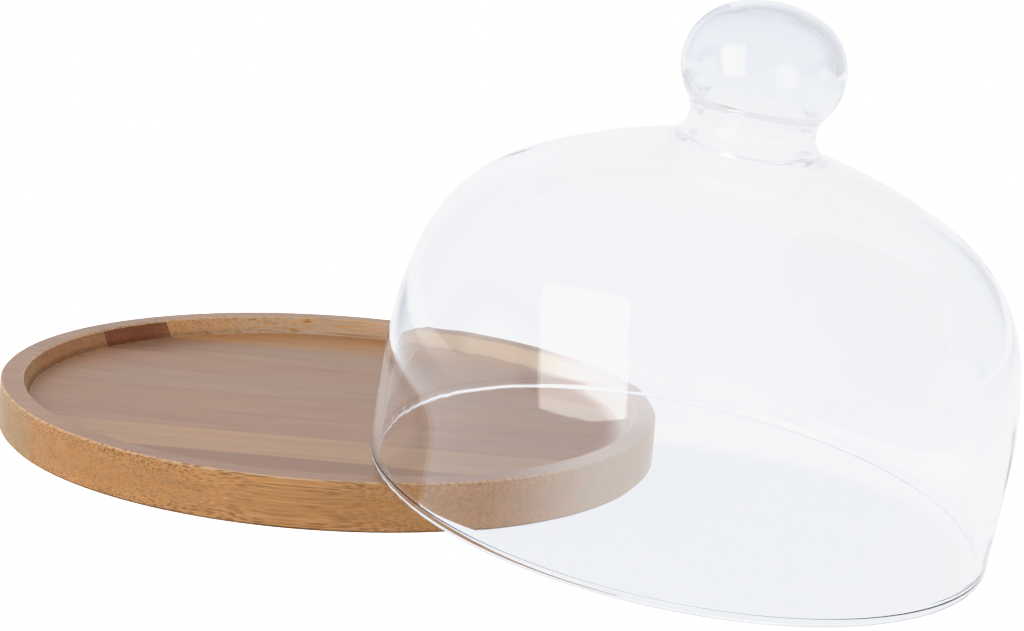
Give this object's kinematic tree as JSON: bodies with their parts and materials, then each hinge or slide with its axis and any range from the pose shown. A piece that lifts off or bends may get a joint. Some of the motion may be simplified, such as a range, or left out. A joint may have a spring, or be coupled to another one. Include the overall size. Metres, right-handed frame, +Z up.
{
  "type": "bell jar dome",
  "caption": "Clear blown-glass bell jar dome with a hollow ball knob, leaning beside the round recessed bamboo tray that it covers.",
  "frame": {"origin": "centre of the tray's underside, on the table that both the tray and the dome's rim stand on", "axes": "+Z up, out of the tray's top; +X to the side that the dome leans on, 37.1 degrees round from it towards -Y; -Y is the front"},
  "size_m": [0.3636, 0.3327, 0.1865],
  "materials": {
    "bamboo": "satin varnish over glued bamboo strips, warm tan to mauve brown, golden where the fibres are cut across",
    "clear_glass": "clear colourless blown glass with a fire-polished rim"
  },
  "bodies": {
    "tray": {"lower_strip_01": "bamboo", "lower_strip_02": "bamboo", "lower_strip_03": "bamboo", "lower_strip_04": "bamboo", "lower_strip_05": "bamboo", "lower_strip_06": "bamboo", "lower_strip_07": "bamboo", "lower_strip_08": "bamboo", "lower_strip_09": "bamboo", "lower_strip_10": "bamboo", "upper_strip_01": "bamboo", "upper_strip_02": "bamboo", "upper_strip_03": "bamboo", "upper_strip_04": "bamboo", "upper_strip_05": "bamboo", "upper_strip_06": "bamboo", "upper_strip_07": "bamboo", "upper_strip_08": "bamboo", "upper_strip_09": "bamboo", "upper_strip_10": "bamboo"},
    "dome": {"glass_dome": "clear_glass"}
  },
  "joints": [
    {"name": "dome_lift", "type": "slide", "parent": "tray", "child": "dome", "axis": [0, 0, 1], "range_m": [0, 0.06]}
  ]
}
